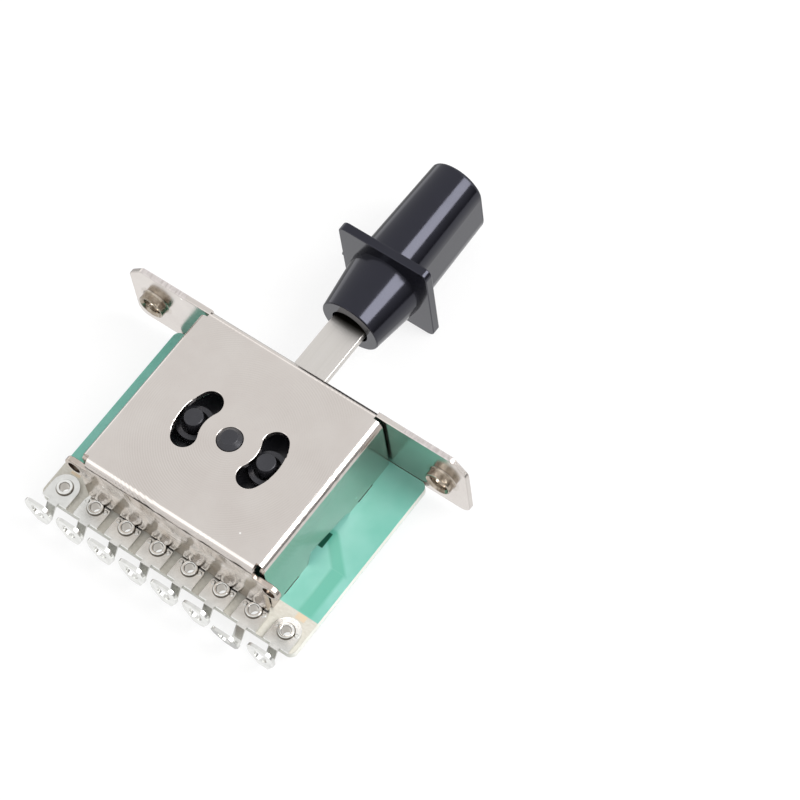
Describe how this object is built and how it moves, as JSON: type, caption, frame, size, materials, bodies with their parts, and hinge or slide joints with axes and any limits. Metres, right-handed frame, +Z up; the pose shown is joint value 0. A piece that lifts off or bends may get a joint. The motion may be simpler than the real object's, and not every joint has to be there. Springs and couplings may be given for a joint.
{
  "type": "guitar pickup selector switch",
  "caption": "Lever selector switch for a guitar: folded nickel housing on a green circuit board with a row of solder lugs, black rocking rotor, flat lever and black knob.",
  "frame": {"origin": "middle of the mounting plate's top face, midway between the two fixing holes", "axes": "+X along the mounting plate and the lever's travel, +Y from the front plate to the circuit board, +Z up along the lever at its middle position"},
  "size_m": [0.0482, 0.0135, 0.0609],
  "materials": {
    "nickel_plated_steel": "nickel plate with faint rolling marks",
    "board_green": "green solder mask over glass laminate",
    "tinned_brass": "tin plate, satin",
    "moulded_black": "as moulded",
    "blade_steel": "nickel plate, faint lengthwise lines",
    "knob_black": "glossy moulding",
    "contact_bronze": "plain spring bronze",
    "spring_steel": "bright"
  },
  "bodies": {
    "frame": {"housing": "nickel_plated_steel", "circuit_board": "board_green", "terminal_1": "tinned_brass", "terminal_2": "tinned_brass", "terminal_3": "tinned_brass", "terminal_4": "tinned_brass", "terminal_5": "tinned_brass", "terminal_6": "tinned_brass", "terminal_7": "tinned_brass", "terminal_8": "tinned_brass", "eyelet_1": "tinned_brass", "eyelet_2": "tinned_brass", "eyelet_3": "tinned_brass", "eyelet_4": "tinned_brass", "eyelet_5": "tinned_brass", "eyelet_6": "tinned_brass", "eyelet_7": "tinned_brass", "eyelet_8": "tinned_brass", "detent_saddle": "moulded_black"},
    "lever": {"rotor": "moulded_black", "lever_blade": "blade_steel", "knob": "knob_black", "wiper_left": "contact_bronze", "wiper_right": "contact_bronze", "detent_ball": "spring_steel", "detent_spring": "spring_steel"}
  },
  "joints": [
    {"name": "lever_tilt", "type": "hinge", "parent": "frame", "child": "lever", "pos_m": [0, 0, -0.0122], "axis": [0, 1, 0], "range_deg": [-26, 26]}
  ]
}
